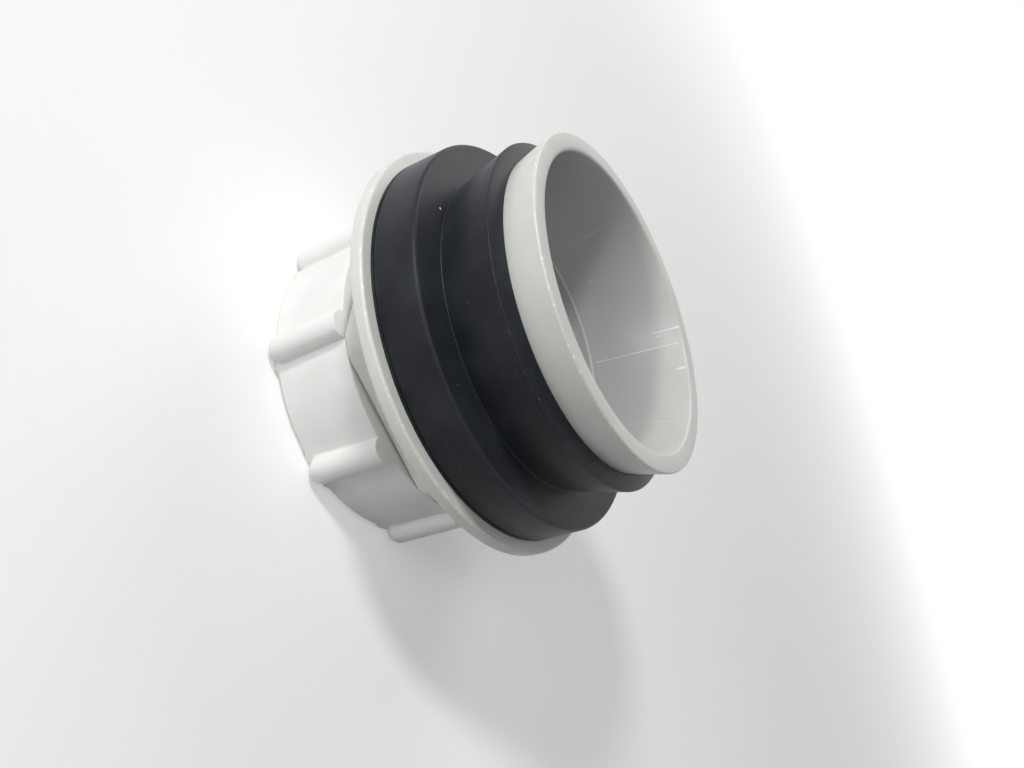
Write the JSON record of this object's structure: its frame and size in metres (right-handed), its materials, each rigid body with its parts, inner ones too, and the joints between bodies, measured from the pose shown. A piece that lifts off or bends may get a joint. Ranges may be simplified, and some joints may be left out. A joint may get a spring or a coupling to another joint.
{
  "type": "tank spud",
  "caption": "Slip-joint tank spud: flared plastic body with a stepped rubber gasket, a flanged hex lock nut and a ribbed coupling nut for a flush tube.",
  "frame": {"origin": "centre of the coupling nut's back face, which the part stands on", "axes": "+Z along the bore from the coupling nut to the flared mouth; +X midway between two grip ribs, towards the picture's camera"},
  "size_m": [0.098, 0.098, 0.0702],
  "materials": {
    "natural_plastic": "natural polypropylene, slightly translucent, smooth",
    "gasket_rubber": "moulded black rubber, dusty satin",
    "lock_nut_plastic": "natural polypropylene, smooth",
    "white_plastic": "white moulded plastic, satin",
    "ring_plastic": "ivory plastic, smooth",
    "washer_rubber": "black rubber, satin"
  },
  "bodies": {
    "body": {"spud_body": "natural_plastic"},
    "gasket": {"spud_gasket": "gasket_rubber"},
    "lock_nut": {"lock_nut": "lock_nut_plastic"},
    "seals": {"friction_ring": "ring_plastic", "slip_washer": "washer_rubber"},
    "coupling_nut": {"coupling_nut": "white_plastic"}
  },
  "joints": [
    {"name": "gasket_slide", "type": "slide", "parent": "body", "child": "gasket", "axis": [0, 0, -1], "range_m": [0, 0.000444]},
    {"name": "lock_nut_turn", "type": "hinge", "parent": "gasket", "child": "lock_nut", "pos_m": [0, 0, 0.0287], "axis": [0, 0, -1], "range_deg": [0, 72]},
    {"name": "seal_slide", "type": "slide", "parent": "body", "child": "seals", "axis": [0, 0, -1], "range_m": [0, 0.01326]},
    {"name": "coupling_nut_turn", "type": "hinge", "parent": "seals", "child": "coupling_nut", "pos_m": [0, 0, 0.0103], "axis": [0, 0, -1], "range_deg": [0, 2160]}
  ],
  "couplings": [
    {"joint": "gasket_slide", "follows": "lock_nut_turn", "m_per_rad": 0.00035152},
    {"joint": "seal_slide", "follows": "coupling_nut_turn", "m_per_rad": 0.00035152}
  ]
}
